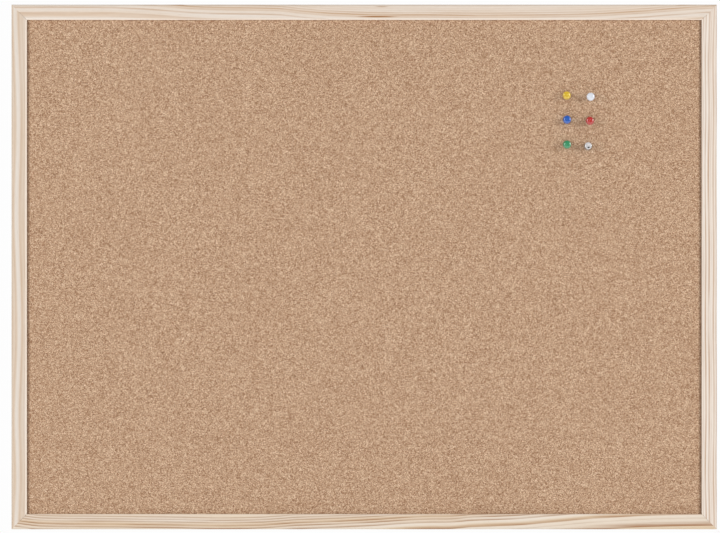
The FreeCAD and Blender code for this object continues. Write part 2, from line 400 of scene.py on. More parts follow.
def cork_material():
    """Pressed cork: granules of many browns, dark seams between them, and a painted shadow along the side
    rails.
    """
    granules, crumbs = 1.15, 2.3  # per millimetre
    rail_shadow_width = 5.0
    s = Shader("fine_cork")
    at = s.place()
    bend = s.add("ShaderNodeTexNoise", {"Vector": at, "Scale": 1.1, "Detail": 1.0}).outputs["Color"]
    shift = s.add("ShaderNodeVectorMath", {0: bend, 1: (0.5, 0.5, 0.5)}, operation="SUBTRACT")
    small_shift = s.add("ShaderNodeVectorMath", {0: shift.outputs[0], "Scale": 0.9}, operation="SCALE")
    ragged = s.add("ShaderNodeVectorMath", {0: at, 1: small_shift.outputs[0]}).outputs[0]

    grain = s.cells(ragged, granules)
    fine = s.cells(ragged, crumbs)
    seam = s.cells(ragged, granules, "DISTANCE_TO_EDGE").outputs["Distance"]
    tone = s.random_of(grain.outputs["Color"])
    fine_tone = s.random_of(fine.outputs["Color"])
    blend = s.math("MULTIPLY_ADD", tone, 0.78, s.math("MULTIPLY", fine_tone, 0.22))
    browns = [
        (0.02, srgb(112, 74, 48)), (0.22, srgb(156, 119, 89)), (0.42, srgb(184, 149, 118)),
        (0.60, srgb(200, 168, 138)), (0.80, srgb(222, 192, 162)), (0.98, srgb(244, 220, 192)),
    ]
    colour = s.ramp(blend, browns)
    hue = s.add("ShaderNodeSeparateColor", {"Color": fine.outputs["Color"]}).outputs[1]
    colour = s.mix(s.ramp(hue, [(0.75, 0.0), (0.95, 0.35)]), colour, srgb(190, 138, 116))
    colour = s.mix(s.ramp(hue, [(0.02, 0.45), (0.10, 0.0)]), colour, srgb(104, 66, 44))
    colour = s.mix(s.ramp(seam, [(0.0, 0.35), (0.14, 0.0)]), colour, srgb(112, 76, 50))
    cloud = s.ramp(s.noise(at, 0.011, 2.0), [(0.3, 0.0), (0.7, 0.07)])
    colour = s.mix(cloud, colour, srgb(160, 122, 92))
    # painted shadow: the cork is darkened towards the left and right rails, as if their lips shaded it
    from_rail = s.math("SUBTRACT", WIDTH / 2 - RAIL_FACE, s.math("ABSOLUTE", s.split(at)[0]))
    rim = s.ramp(s.math("DIVIDE", from_rail, rail_shadow_width), [(0.0, 0.46), (0.3, 0.36), (0.8, 0.0)], "EASE")
    colour = s.mix(rim, colour, srgb(60, 38, 26))

    dome = s.ramp(seam, [(0.0, 0.0), (0.3, 1.0)], "EASE")
    relief = s.bump(dome, 0.16, 0.8)
    relief = s.bump(s.noise(at, 3.2, 3.0, 0.6), 0.10, 0.7, relief)
    rough = s.ramp(fine_tone, [(0.0, 0.78), (1.0, 0.92)])
    return s.surface(Base_Color=colour, Roughness=rough, Normal=relief, Specular_IOR_Level=0.25)


def softboard_material():
    """Coarse, loosely pressed wood fibre."""
    s = Shader("softboard_fibre")
    at = s.place()
    fibre = s.noise(at, 1.4, 4.0, 0.7, 1.5)
    colour = s.ramp(fibre, [(0.3, srgb(118, 88, 60)), (0.5, srgb(158, 126, 92)), (0.7, srgb(186, 156, 120))])
    relief = s.bump(fibre, 0.3, 0.8)
    return s.surface(Base_Color=colour, Roughness=0.95, Normal=relief)


def hardboard_material():
    """The rough side of hardboard: matted brown fibre with the print of the press screen."""
    pitch = 1.6  # of the screen's print
    s = Shader("hardboard_screen_side")
    at = s.place()
    fibre = s.noise(at, 0.9, 5.0, 0.72, 2.0)
    cloud = s.noise(at, 0.02, 3.0, 0.55)
    colour = s.ramp(fibre, [(0.28, srgb(84, 56, 36)), (0.5, srgb(122, 86, 58)), (0.74, srgb(158, 120, 84))])
    colour = s.mix(s.ramp(cloud, [(0.3, 0.0), (0.7, 0.25)]), colour, srgb(98, 66, 44))
    x, _, z = s.split(at)
    warp, weft = [s.math("SINE", s.math("MULTIPLY", way, 2 * math.pi / pitch)) for way in (x, z)]
    screen = s.math("MULTIPLY_ADD", s.math("MULTIPLY", warp, weft), 0.5, 0.5)
    colour = s.mix(s.ramp(screen, [(0.0, 0.22), (0.55, 0.0)]), colour, srgb(74, 48, 30))
    relief = s.bump(screen, 0.22, 0.8)
    relief = s.bump(fibre, 0.15, 0.7, relief)
    rough = s.ramp(fibre, [(0.3, 0.66), (0.7, 0.86)])
    return s.surface(Base_Color=colour, Roughness=rough, Normal=relief, Specular_IOR_Level=0.3)


def metal_material(name, base, tint, roughness, spangle, brushed=(1.0, 1.0, 1.0)):
    """Plated steel with faint crystal spangle, fine scratches and slightly uneven gloss."""
    s = Shader(name)
    at = s.place()
    crystal = s.random_of(s.cells(at, 1 / spangle).outputs["Color"])
    cloud = s.noise(at, 0.35, 3.0, 0.6)
    colour = s.mix(s.ramp(crystal, [(0.0, 0.0), (1.0, 0.35)]), base, tint)
    colour = s.mix(s.ramp(cloud, [(0.35, 0.0), (0.7, 0.3)]), colour, tint)
    scratch = s.noise(s.place(scale=brushed), 4.0, 2.0, 0.6)
    rough = s.math("MULTIPLY_ADD", scratch, 0.22, roughness - 0.11)
    relief = s.bump(scratch, 0.012, 0.6)
    return s.surface(Base_Color=colour, Metallic=1.0, Roughness=rough, Normal=relief)


MOULDED = {"IOR": 1.49, "Coat_Weight": 1.0, "Coat_Roughness": 0.08, "Coat_IOR": 1.7}


def plastic_material(name, colour, deep):
    """Glossy moulded plastic with a little depth and handling marks."""
    s = Shader(name)
    at = s.place()
    marks = s.noise(at, 1.6, 4.0, 0.65)
    swirl = s.noise(at, 0.22, 2.0, 0.5, 1.0)
    shade = s.mix(s.ramp(swirl, [(0.3, 0.0), (0.75, 0.4)]), colour, deep)
    rough = s.ramp(marks, [(0.35, 0.10), (0.7, 0.19)])
    relief = s.bump(swirl, 0.05, 0.25)
    return s.surface(
        Base_Color=shade,
        Roughness=rough,
        Normal=relief,
        Subsurface_Weight=0.12,
        Subsurface_Radius=(0.6, 0.6, 0.6),
        Subsurface_Scale=MM,
        **MOULDED,
    )


def clear_material(disc):
    """Clear in the flange and milky in the disc, with a dark spot painted on the disc where the needle's end
    would show through.

    disc is the middle of the disc's front, in millimetres.
    """
    s = Shader("clear_acrylic")
    at = s.place()
    swirl = s.noise(at, 0.3, 2.0, 0.5, 1.0)
    marks = s.noise(at, 1.6, 4.0, 0.65)
    tint = s.mix(s.ramp(swirl, [(0.3, 0.0), (0.75, 0.5)]), srgb(236, 236, 237), srgb(220, 222, 225))
    # painted dark spot that stands in for the needle seen through the plastic
    painted_needle_spot = s.place((disc.x + 0.3, disc.y, disc.z - 2.0), scale=(1.7, 1.6, 1.0))
    tint = s.mix(s.ramp(s.length(painted_needle_spot), [(0.7, 1.0), (1.0, 0.0)], "EASE"), tint, srgb(34, 31, 31))
    below = s.split(s.place(disc))[1]
    clear = s.ramp(s.math("DIVIDE", below, HEAD_HEIGHT), [(0.1, 0.35), (0.5, 1.0)])
    rough = s.ramp(marks, [(0.35, 0.06), (0.75, 0.13)])
    relief = s.bump(swirl, 0.06, 0.3)
    return s.surface(Base_Color=tint, Roughness=rough, Normal=relief, Transmission_Weight=clear, **MOULDED)


def needle_material():
    """Bright steel with faint marks from drawing the wire."""
    s = Shader("polished_needle_steel")
    at = s.place(scale=(1, 6, 1))
    draw = s.noise(at, 5.0, 3.0, 0.6)
    colour = s.ramp(draw, [(0.3, srgb(196, 198, 202)), (0.7, srgb(222, 224, 228))])
    rough = s.ramp(draw, [(0.3, 0.12), (0.7, 0.24)])
    return s.surface(Base_Color=colour, Metallic=1.0, Roughness=rough, Normal=s.bump(draw, 0.006, 0.5))


# ---------------- rails


def rail_section():
    """The rail's section as (y, z) points: z is 0 at the outer edge and falls to the inner edge."""
    front, inner = FRONT_Y, -RAIL_FACE
    points = []

    def run(start, end, gap):
        """Points from start up to, not including, end, about gap apart."""
        steps = max(1, round(math.dist(start, end) / gap))
        for i in range(steps):
            share = i / steps
            points.append((start[0] + (end[0] - start[0]) * share, start[1] + (end[1] - start[1]) * share))

    run((BACK_Y - BACK_ARRIS, 0), (front + OUTER_ARRIS, 0), 1.2)
    points.extend(arc((front + OUTER_ARRIS, -OUTER_ARRIS), OUTER_ARRIS, 90, 180, 10)[:-1])
    run((front, -OUTER_ARRIS), (front, inner + INNER_ARRIS), 0.7)
    points.extend(arc((front + INNER_ARRIS, inner + INNER_ARRIS), INNER_ARRIS, 180, 270, 8)[:-1])
    run((front + INNER_ARRIS, inner), (CORK_Y, inner), 1.0)
    run((CORK_Y, inner), (CORK_Y, -WEB), 6.2)
    run((CORK_Y, -WEB), (GROOVE_BACK_Y, -WEB), 9.5)
    run((GROOVE_BACK_Y, -WEB), (GROOVE_BACK_Y, inner), 6.2)
    run((GROOVE_BACK_Y, inner), (BACK_Y, inner), 6.5)
    run((BACK_Y, inner), (BACK_Y, -BACK_ARRIS), 3.0)
    points.extend(arc((BACK_Y - BACK_ARRIS, -BACK_ARRIS), BACK_ARRIS, 0, 90, 4)[:-1])
    return points


def rail_mesh(length, seed):
    """A mitred rail along X. Its front and outer faces carry a raised grain, and its ends are eased."""
    section = rail_section()
    ease, gaps = 0.14, 170
    bm = bmesh.new()
    rings = []
    for index in range(gaps + 1):
        rings.append(rail_ring(bm, section, -1.0 + 2.0 * index / gaps, length, seed, 0.0))
        if index == 0:
            rings.insert(0, rail_ring(bm, section, -1.0, length, seed, ease))
            move_ring(rings[1], ease)
    rings.append(rail_ring(bm, section, 1.0, length, seed, ease))
    move_ring(rings[-2], -ease)
    for low, high in zip(rings, rings[1:]):
        bridge(bm, low, high)
    bm.faces.new(reversed(rings[0]))
    bm.faces.new(rings[-1])
    return bm


def move_ring(ring, along):
    """Moves a rail's ring along the rail."""
    for vertex in ring:
        vertex.co.x += along


def rail_ring(bm, section, station, length, seed, shrink):
    """One ring of the rail: the section, drawn in by shrink, with the grain's relief on its open faces."""
    middle_y = (FRONT_Y + BACK_Y) / 2
    ring = []
    for y, z in section:
        x = station * (length / 2 + z)
        outer = z > -0.01
        shown = y < FRONT_Y + 0.01
        lift = 0.0
        if outer or shown:
            lift = 0.035 * noise.noise(Vector((x / 38, y / 1.1, z / 1.1 + seed)))
            lift += 0.03 * noise.noise(Vector((x / 90, y / 9, z / 9 - seed)))
        new_y = y + (lift if shown else 0.0)
        new_z = z + (-abs(lift) if outer else 0.0)
        if shrink:
            new_y += shrink if y < middle_y else -shrink
            new_z += -shrink if z > -RAIL_FACE / 2 else shrink
        ring.append(bm.verts.new((x, new_y, new_z)))
    return ring


def side_matrix(across, turn):
    """From a rail's own frame to its side of the board, in millimetres."""
    up = Matrix.Translation((0, 0, across / 2))
    centre = Matrix.Translation((0, 0, CENTRE_Z))
    return centre @ Matrix.Rotation(turn, 4, "Y") @ up


# turn: about the board's middle, from the top; pith: the tree's centre, as (y, z) of the rail's section
# path: along the rail as a share of its length, and the grain's shift towards the inner edge
# rings: a dark line's place from the outer edge, its width and its strength, where the shift is 0
# tones: the same kind of place, and how warm the pale wood is there
# spacing, faint: the growth rings between the drawn lines, and how strong they are
# drift, wave: how far the grain wanders by chance, and over what length
# streaks: orange marks, as their place along and out, length, width and strength
# inner_edge_highlight: how strong the highlight painted along the rail's inner edge is
# outer_edge_shade: how strong the shade painted on the outer edge of the front is
RAILS = {
    "top": dict(
        turn=0.0, seed=3.1, pith=(34.0, -75.0), spacing=3.4, faint=0.12, drift=0.8, wave=90.0,
        path=[
            (0.0, 0.0), (0.14, 0.0), (0.2, 2.5), (0.255, 6.9), (0.33, 7.6), (0.38, 8.3), (0.41, 11.4),
            (0.45, 14.2), (0.52, 16.0), (0.74, 16.0), (0.82, 15.5), (0.9, 10.5), (0.95, 7.8), (1.0, 5.0),
        ],
        rings=[
            (-15.0, 1.8, 0.2), (-12.2, 1.7, 0.2), (-9.6, 1.8, 0.3), (-7.0, 2.0, 0.6), (-4.5, 2.2, 0.9),
            (-2.0, 1.8, 0.5), (2.4, 2.2, 0.7), (8.8, 5.6, 0.5), (17.5, 2.0, 0.4),
        ],
        tones=[
            (-16.0, 0.4), (-10.0, 0.5), (-3.0, 0.7), (1.0, 0.3), (5.0, 0.2), (9.0, 0.7), (12.5, 0.8),
            (15.0, 0.1), (20.0, 0.2),
        ],
        pale=srgb(221, 212, 202), warm=srgb(215, 196, 176), late=srgb(172, 130, 90), contrast=1.0,
        outer_edge_shade=0.14, inner_edge_highlight=0.70,
        streaks=[(15.0, -13.7, 60.0, 2.1, 1.0), (20.0, -2.4, 20.0, 1.5, 0.6)],
    ),
    "bottom": dict(
        turn=math.pi, seed=8.6, pith=(16.0, -85.0), spacing=2.9, faint=0.12, drift=0.4, wave=60.0,
        path=[
            (0.0, 26.5), (0.06, 26.2), (0.11, 25.0), (0.15, 23.0), (0.19, 21.0), (0.245, 16.5), (0.29, 13.6),
            (0.35, 12.4), (0.38, 9.4), (0.415, 11.0), (0.5, 5.6), (0.6, 2.6), (0.64, 0.0), (0.7, -1.0),
            (0.76, 0.2), (0.87, 1.4), (0.96, 1.2), (1.0, 7.0),
        ],
        rings=[
            (-22.0, 6.0, 1.0), (-17.0, 1.6, 0.35), (-14.0, 1.6, 0.35), (-9.4, 3.6, 0.9), (-2.4, 2.2, 0.9),
            (1.2, 2.2, 1.0), (4.2, 2.6, 1.0), (7.6, 2.2, 0.8), (10.4, 2.0, 0.8), (13.2, 2.0, 0.7),
        ],
        tones=[
            (-25.0, 1.0), (-20.0, 0.5), (-15.0, 0.2), (-11.0, 0.2), (-8.0, 1.0), (-4.0, 0.2), (1.0, 0.5),
            (5.0, 0.9), (10.0, 0.3), (18.0, 0.5),
        ],
        pale=srgb(224, 214, 201), warm=srgb(214, 192, 164), late=srgb(152, 108, 72), contrast=1.0,
        outer_edge_shade=0.10, inner_edge_highlight=0.15, streaks=[],
    ),
    "left": dict(
        turn=-math.pi / 2, seed=12.4, pith=(44.0, -75.0), spacing=5.2, faint=0.10, drift=0.5, wave=70.0,
        path=[
            (0.0, -2.5), (0.1, 2.2), (0.21, -2.0), (0.33, 2.2), (0.45, 2.4), (0.6, -2.2), (0.76, 2.4),
            (0.9, -1.0), (1.0, -3.0),
        ],
        rings=[(-1.5, 1.9, 0.4), (2.4, 2.0, 0.5), (9.6, 3.2, 0.55), (13.6, 2.2, 0.35), (18.0, 1.8, 0.5)],
        tones=[(-3.0, 0.8), (3.6, 0.9), (5.8, 0.0), (7.6, 0.0), (9.6, 0.9), (14.0, 0.75), (18.0, 0.5)],
        pale=srgb(217, 208, 198), warm=srgb(208, 189, 169), late=srgb(176, 136, 98), contrast=0.65,
        outer_edge_shade=0.10, inner_edge_highlight=0.90, streaks=[],
    ),
    "right": dict(
        turn=math.pi / 2, seed=20.9, pith=(8.0, -95.0), spacing=2.8, faint=0.06, drift=0.4, wave=130.0,
        path=[
            (0.0, -1.6), (0.1, 1.4), (0.2, -0.6), (0.32, 1.6), (0.45, -0.8), (0.6, 1.2), (0.75, -1.0),
            (0.88, 1.2), (1.0, -1.2),
        ],
        rings=[
            (0.6, 1.8, 0.6), (3.2, 2.4, 0.9), (6.2, 1.9, 0.5), (8.4, 2.5, 1.0), (12.2, 2.5, 1.0),
            (15.4, 2.0, 0.7), (18.0, 1.8, 0.6),
        ],
        tones=[(-2.0, 0.5), (2.0, 0.45), (8.0, 0.3), (12.0, 0.2), (18.0, 0.3)],
        pale=srgb(230, 223, 214), warm=srgb(222, 208, 193), late=srgb(178, 140, 110), contrast=1.0,
        outer_edge_shade=0.05, inner_edge_highlight=0.35, streaks=[],
    ),
}


# ---------------- V-nails

NAIL_LEG, NAIL_THICK, NAIL_DEEP, NAIL_SINK = 4.6, 0.5, 10.0, 0.25
NAIL_CURL, NAIL_HOOK = 0.35, 0.9  # how far the ends of the legs turn back, and over what length
NAIL_PLACES = (4.2, 8.6)  # each V's point, in from the corner's two outer edges
CORNERS = {"top_left": (-1, 1), "top_right": (1, 1), "bottom_left": (-1, -1), "bottom_right": (1, -1)}


def nail_outline(sign_x, sign_z, place, extra):
    """A V-nail seen from behind: two legs from a point on the mitre, thickened by extra."""
    half = NAIL_THICK / 2 + extra
    leg = NAIL_LEG - NAIL_THICK / 2
    straight = leg - NAIL_HOOK
    centre_line = [(leg, -NAIL_CURL), (straight, 0.0), (0.0, 0.0), (0.0, straight), (-NAIL_CURL, leg)]
    outer, inner = [], []
    for index, (a, b) in enumerate(centre_line):
        before = centre_line[max(index - 1, 0)]
        after = centre_line[min(index + 1, len(centre_line) - 1)]
        run_a, run_b = after[0] - before[0], after[1] - before[1]
        size = math.hypot(run_a, run_b)
        side_a, side_b = -run_b / size * half, run_a / size * half
        if index == 2:
            side_a, side_b = side_a * math.sqrt(2), side_b * math.sqrt(2)
        outer.append((a + side_a, b + side_b))
        inner.append((a - side_a, b - side_b))
    x = WIDTH / 2 - place - NAIL_THICK / 2
    z = HEIGHT / 2 - place - NAIL_THICK / 2
    outline = outer + inner[::-1]
    return [(sign_x * (x - a), CENTRE_Z + sign_z * (z - b)) for a, b in outline]


def joined(parts):
    """Several bmesh solids as one."""
    whole = bmesh.new()
    for part in parts:
        mesh = bpy.data.meshes.new("part")
        part.to_mesh(mesh)
        part.free()
        whole.from_mesh(mesh)
        bpy.data.meshes.remove(mesh)
    return whole


def nail_prisms(corner, extra, y_front, y_back):
    """A corner's two V-nails between two Y planes, thickened by extra."""
    outlines = [nail_outline(*CORNERS[corner], place, extra) for place in NAIL_PLACES]
    return [prism(outline, y_front, y_back) for outline in outlines]


def make_v_nails(material):
    """Two V-nails in the back of each corner."""
    for corner in CORNERS:
        parts = nail_prisms(corner, 0.0, BACK_Y - NAIL_DEEP + 0.1, BACK_Y - NAIL_SINK)
        piece = add_object(f"corner_v_nails_{corner}", joined(parts))
        finish_piece(piece, material, f"v_nails_{corner}")


def nail_cutters(corners):
    """Slots for the V-nails of the named corners, a little wider than the nails."""
    slots = []
    for corner in corners:
        slots += nail_prisms(corner, 0.08, BACK_Y - NAIL_DEEP, BACK_Y + 1)
    return [add_object("cutter", slot) for slot in slots]


# ---------------- keyhole hangers

PLATE_THICK, PLATE_CORNER = 1.2, 3.0
ENTRY_RADIUS, SLOT_RADIUS, SLOT_RISE = 4.0, 2.2, 4.4
POCKET_RADIUS, POCKET_RISE, POCKET_DEEP = 5.0, 3.4, 4.4
SCREW_REACH, SCREW_Z = 16.0, 3.8
SCREW_HEAD_RADIUS, SCREW_RADIUS, SCREW_HEAD_DEPTH, SCREW_LENGTH, SCREW_TIP = 2.8, 1.5, 1.5, 12.0, 2.5
THREAD_PITCH, THREAD_DEPTH = 1.3, 0.38
PLATES = {side: box_mm(f"hanger_plate_{side}") for side in ("left", "right")}


def plate_outline(low, high, radius):
    """A rounded rectangle as (x, z) points."""
    left, right = low.x + radius, high.x - radius
    bottom, top = low.z + radius, high.z - radius
    corners = ((right, top, 0), (left, top, 90), (left, bottom, 180), (right, bottom, 270))
    return [p for x, z, start in corners for p in arc((x, z), radius, start, start + 90, 8)]


def keyhole_outline(x):
    """A keyhole about (x, 0): a round entry with a round-ended slot standing up from it."""
    gap = math.degrees(math.asin(SLOT_RADIUS / ENTRY_RADIUS))
    return arc((x, 0), ENTRY_RADIUS, 90 + gap, 450 - gap, 28) + arc((x, SLOT_RISE), SLOT_RADIUS, 0, 180, 14)


def pocket_outline(x):
    """The round-ended pocket behind a keyhole at (x, 0)."""
    return arc((x, 0), POCKET_RADIUS, 180, 360, 20) + arc((x, POCKET_RISE), POCKET_RADIUS, 0, 180, 20)


def plate_blank(low, high):
    """A hanger plate before its holes: its back edge is eased by a small round."""
    back = -0.02
    bm = prism(plate_outline(low, high, PLATE_CORNER - 0.05), -PLATE_THICK, back)
    edges = [e for e in bm.edges if all(abs(v.co.y - back) < TINY for v in e.verts)]
    bmesh.ops.bevel(bm, geom=edges, offset=0.15, segments=2, profile=0.5, affect="EDGES")
    return bm


def screw_profile():
    """A countersunk screw about +Z, its head's top at Z = 0, threaded below."""
    head = [(0.0, -0.02), (1.4, -0.02), (SCREW_HEAD_RADIUS - 0.12, -0.06), (SCREW_HEAD_RADIUS, -0.16)]
    neck = [(SCREW_RADIUS, -SCREW_HEAD_DEPTH)]
    steps = 72
    length = SCREW_LENGTH - SCREW_TIP - SCREW_HEAD_DEPTH
    shank = [(SCREW_RADIUS, -SCREW_HEAD_DEPTH - 0.4 - (length - 0.4) * i / steps) for i in range(steps + 1)]
    tip = [(SCREW_RADIUS * (1 - i / 6), -(SCREW_LENGTH - SCREW_TIP) - SCREW_TIP * i / 6) for i in range(1, 6)]
    return head + neck + shank + tip + [(0.0, -SCREW_LENGTH)]


def thread(radius, z, turn):
    """A helical ridge: the radius falls between the crests."""
    if z > -SCREW_HEAD_DEPTH - 0.3 or radius < SCREW_RADIUS - 0.01:
        return radius
    share = (z / THREAD_PITCH + turn / (2 * math.pi)) % 1.0
    return radius - THREAD_DEPTH * min(1.0, abs(share - 0.5) * 3.2)


def cross_cutter():
    """A tapered cross driven into a screw's head, as one closed prism of twelve sides."""
    long, half = 1.55, 0.28
    points = []
    for quarter in range(4):
        turn = math.radians(90 * quarter)
        for x, y in ((half, half), (long, half), (long, -half)):
            points.append((x * math.cos(turn) + y * math.sin(turn), -x * math.sin(turn) + y * math.cos(turn)))
    bm = bmesh.new()
    top = [bm.verts.new((x, y, 0.5)) for x, y in points]
    low = [bm.verts.new((x * 0.45, y * 0.8, -1.15)) for x, y in points]
    bm.faces.new(top)
    bm.faces.new(reversed(low))
    for i in range(len(points)):
        j = (i + 1) % len(points)
        bm.faces.new((top[i], low[i], low[j], top[j]))
    return bm


def screw_place(x, way):
    """From a screw's own frame to its place left (-1) or right (1) of the keyhole at x, in millimetres."""
    return Matrix.Translation((x + way * SCREW_REACH, 0, SCREW_Z)) @ Matrix.Rotation(-math.pi / 2, 4, "X")


def make_hanger(side, plate_material, screw_material):
    """A keyhole plate with countersunk holes, and its two screws."""
    low, high = PLATES[side]
    x = (low.x + high.x) / 2
    plate = add_object(f"keyhole_plate_{side}", plate_blank(low, high))
    sinks = []
    for way in (-1, 1):
        cone = [(0.0, 0.5), (SCREW_HEAD_RADIUS + 0.6, 0.5), (SCREW_HEAD_RADIUS + 0.1, 0.0)]
        cone += [(SCREW_RADIUS + 0.4, -PLATE_THICK - 0.1), (SCREW_RADIUS + 0.4, -3.0), (0.0, -3.0)]
        sinks.append(add_object("cutter", lathe(cone, 40), matrix=screw_place(x, way)))
    sinks.append(add_object("cutter", prism(keyhole_outline(x), -PLATE_THICK - 1, 1)))
    carve(plate, sinks)
    finish_piece(plate, plate_material, f"hanger_plate_{side}")

    parts = []
    for way, twist in ((-1, 0.35), (1, 1.1)):
        screw = add_object("screw", lathe(screw_profile(), 28, thread))
        carve(screw, [add_object("cutter", cross_cutter())])
        part = bmesh.new()
        part.from_mesh(screw.data)
        bpy.data.objects.remove(screw)
        part.transform(Matrix.Scale(1 / MM, 4))
        part.transform(screw_place(x, way) @ Matrix.Rotation(twist, 4, "Z"))
        parts.append(part)
    screws = add_object(f"hanger_screw_pair_{side}", joined(parts))
    finish_piece(screws, screw_material, f"hanger_screws_{side}")


def hanger_cutters():
    """What the top rail loses to the hangers: each plate's recess and the pocket behind its keyhole."""
    cutters = []
    for low, high in PLATES.values():
        x = (low.x + high.x) / 2
        outline = plate_outline(low, high, PLATE_CORNER)
        cutters.append(add_object("cutter", prism(outline, -PLATE_THICK - 0.02, 1)))
        cutters.append(add_object("cutter", prism(pocket_outline(x), -PLATE_THICK - POCKET_DEEP, 0.5)))
        for way in (-1, 1):
            spot = arc((x + way * SCREW_REACH, SCREW_Z), SCREW_RADIUS + 0.05, 0, 345, 23)
            cutters.append(add_object("cutter", prism(spot, -SCREW_LENGTH - 0.2, 0.4)))
    return cutters


def make_rails():
    """The four rails, cut for the V-nails and, at the top, for the hangers."""
    for side, look in RAILS.items():
        length, across = (WIDTH, HEIGHT) if side in ("top", "bottom") else (HEIGHT, WIDTH)
        matrix = side_matrix(across, look["turn"])
        piece = add_object(f"pine_rail_{side}", rail_mesh(length, look["seed"]), matrix=matrix)
        cutters = nail_cutters([corner for corner in CORNERS if side in corner.split("_")])
        if side == "top":
            cutters += hanger_cutters()
        carve(piece, cutters)
        material = pine_material(f"pine_{side}", length, across, look)
        finish_piece(piece, material, f"frame_rail_{side}")


# ---------------- cork sheet

CELL = 2.15  # the face's grid
HOLE_RADIUS = 0.65
HOLE_RINGS = ((2.6, -0.12), (1.5, -0.02), (0.95, 0.10), (0.74, 0.06), (HOLE_RADIUS, -0.10))  # radius, height
HOLE_BLOCK = 2  # cells each way from a hole's middle that its rim takes the place of


def cork_height(x, z):
    """The cork's uneven surface: broad swells and granules, in millimetres out of the sheet."""
    swell = noise.noise(Vector((x / 55, 0.3, z / 55)))
    grain = noise.noise(Vector((x / 1.7, 5.1, z / 1.7)))
    pits = noise.noise(Vector((x / 3.9, 9.7, z / 3.9)))
    return 0.05 * swell + 0.11 * grain + 0.07 * pits - 0.17


def pin_pose(colour):
    """A pin's flange underside and its axis out of the board, read from its CAD needle and joint."""
    joint = next(j for j in frame["record"]["behaviour"]["joints"] if j["child"] == f"pin_{colour}")
    axis = Vector(joint["axis"]).normalized()
    needle = bpy.data.objects[f"pin_{colour}_needle"]
    reach = [(Vector(v.co) / MM).dot(axis) for v in needle.data.vertices]
    centre = sum((Vector(v.co) / MM for v in needle.data.vertices), Vector()) / len(needle.data.vertices)
    base = centre - axis * centre.dot(axis)
    return base + axis * (min(reach) + NEEDLE_BARE), axis


PIN_POSES = {colour: pin_pose(colour) for colour in COLOURS}


def hole_spots():
    """Where each needle's axis crosses the cork's face."""
    spots = []
    for flange, axis in PIN_POSES.values():
        spot = flange + axis * ((CORK_Y - flange.y) / axis.y)
        spots.append((spot.x, spot.z, axis))
    return spots


def make_cork(material):
    """A closed sheet with a granular front face and a rimmed hole where each needle goes in."""
    bm = bmesh.new()
    width, height = CORK_HIGH.x - CORK_LOW.x, CORK_HIGH.z - CORK_LOW.z
    columns, rows = round(width / CELL), round(height / CELL)
    step_x, step_z = width / columns, height / rows
    grid = []
    for i in range(columns + 1):
        x = CORK_LOW.x + i * step_x
        line = []
        for j in range(rows + 1):
            z = CORK_LOW.z + j * step_z
            edge = i in (0, columns) or j in (0, rows)
            lift = -0.1 if edge else cork_height(x, z)
            line.append(bm.verts.new((x, CORK_Y - lift, z)))
        grid.append(line)
    skip = set()
    rims = []
    for x, z, axis in hole_spots():
        i0 = round((x - CORK_LOW.x) / step_x)
        j0 = round((z - CORK_LOW.z) / step_z)
        n = HOLE_BLOCK
        skip.update((i, j) for i in range(i0 - n, i0 + n) for j in range(j0 - n, j0 + n))
        loop = [grid[i][j0 - n] for i in range(i0 - n, i0 + n)]
        loop += [grid[i0 + n][j] for j in range(j0 - n, j0 + n)]
        loop += [grid[i][j0 + n] for i in range(i0 + n, i0 - n, -1)]
        loop += [grid[i0 - n][j] for j in range(j0 + n, j0 - n, -1)]
        rims.append(((x, z, axis), loop))
        for i in range(i0 - n + 1, i0 + n):
            for j in range(j0 - n + 1, j0 + n):
                bm.verts.remove(grid[i][j])
                grid[i][j] = None
    for i in range(columns):
        for j in range(rows):
            if (i, j) not in skip:
                bm.faces.new((grid[i][j], grid[i + 1][j], grid[i + 1][j + 1], grid[i][j + 1]))
    back_loops = [make_hole(bm, *spot, loop) for spot, loop in rims]
    border = [grid[i][0] for i in range(columns)] + [grid[columns][j] for j in range(rows)]
    border += [grid[i][rows] for i in range(columns, 0, -1)] + [grid[0][j] for j in range(rows, 0, -1)]
    back = [bm.verts.new((v.co.x, CORK_HIGH.y, v.co.z)) for v in border]
    bridge(bm, border, back)
    edges = []
    for loop in [back] + back_loops:
        edges += [bm.edges.get(pair) for pair in zip(loop, loop[1:] + loop[:1])]
    bmesh.ops.triangle_fill(bm, use_beauty=True, use_dissolve=False, edges=edges)
    piece = add_object("cork_surface", bm, smooth_angle=60.0)
    finish_piece(piece, material, "cork_sheet")


def make_hole(bm, x, z, axis, loop):
    """Fills the gap in the grid round a needle: rings rise to a torn rim and turn down into the hole."""
    rings = [loop]
    for radius, lift in HOLE_RINGS:
        ring = []
        for corner in loop:
            turn = math.atan2(corner.co.z - z, corner.co.x - x)
            ragged = 0.05 * noise.noise(Vector((x + 9 * math.cos(turn), lift * 7, z + 9 * math.sin(turn))))
            spread = radius + (ragged if radius > HOLE_RADIUS + 0.05 else 0.0)
            y = CORK_Y - lift - 1.4 * ragged
            ring.append(bm.verts.new((x + spread * math.cos(turn), y, z + spread * math.sin(turn))))
        rings.append(ring)
    deep = []
    run = (CORK_HIGH.y - CORK_Y) / axis.y
    for vertex in rings[-1]:
        deep.append(bm.verts.new((vertex.co.x + axis.x * run, CORK_HIGH.y, vertex.co.z + axis.z * run)))
    rings.append(deep)
    for low, high in zip(rings, rings[1:]):
        bridge(bm, low, high)
    return deep


# ---------------- push pins


def curve_through(points, steps):
    """Points along a smooth Catmull-Rom curve through the given (radius, z) points."""
    path = []
    padded = [points[0]] + list(points) + [points[-1]]
    for p0, p1, p2, p3 in zip(padded, padded[1:], padded[2:], padded[3:]):
        for i in range(steps):
            t = i / steps
            spot = []
            for a, b, c, d in zip(p0, p1, p2, p3):
                square, cube = 2 * a - 5 * b + 4 * c - d, 3 * b - a - 3 * c + d
                spot.append(0.5 * (2 * b + (c - a) * t + square * t * t + cube * t**3))
            path.append((max(spot[0], 0.0), spot[1]))
    path.append(points[-1])
    return path


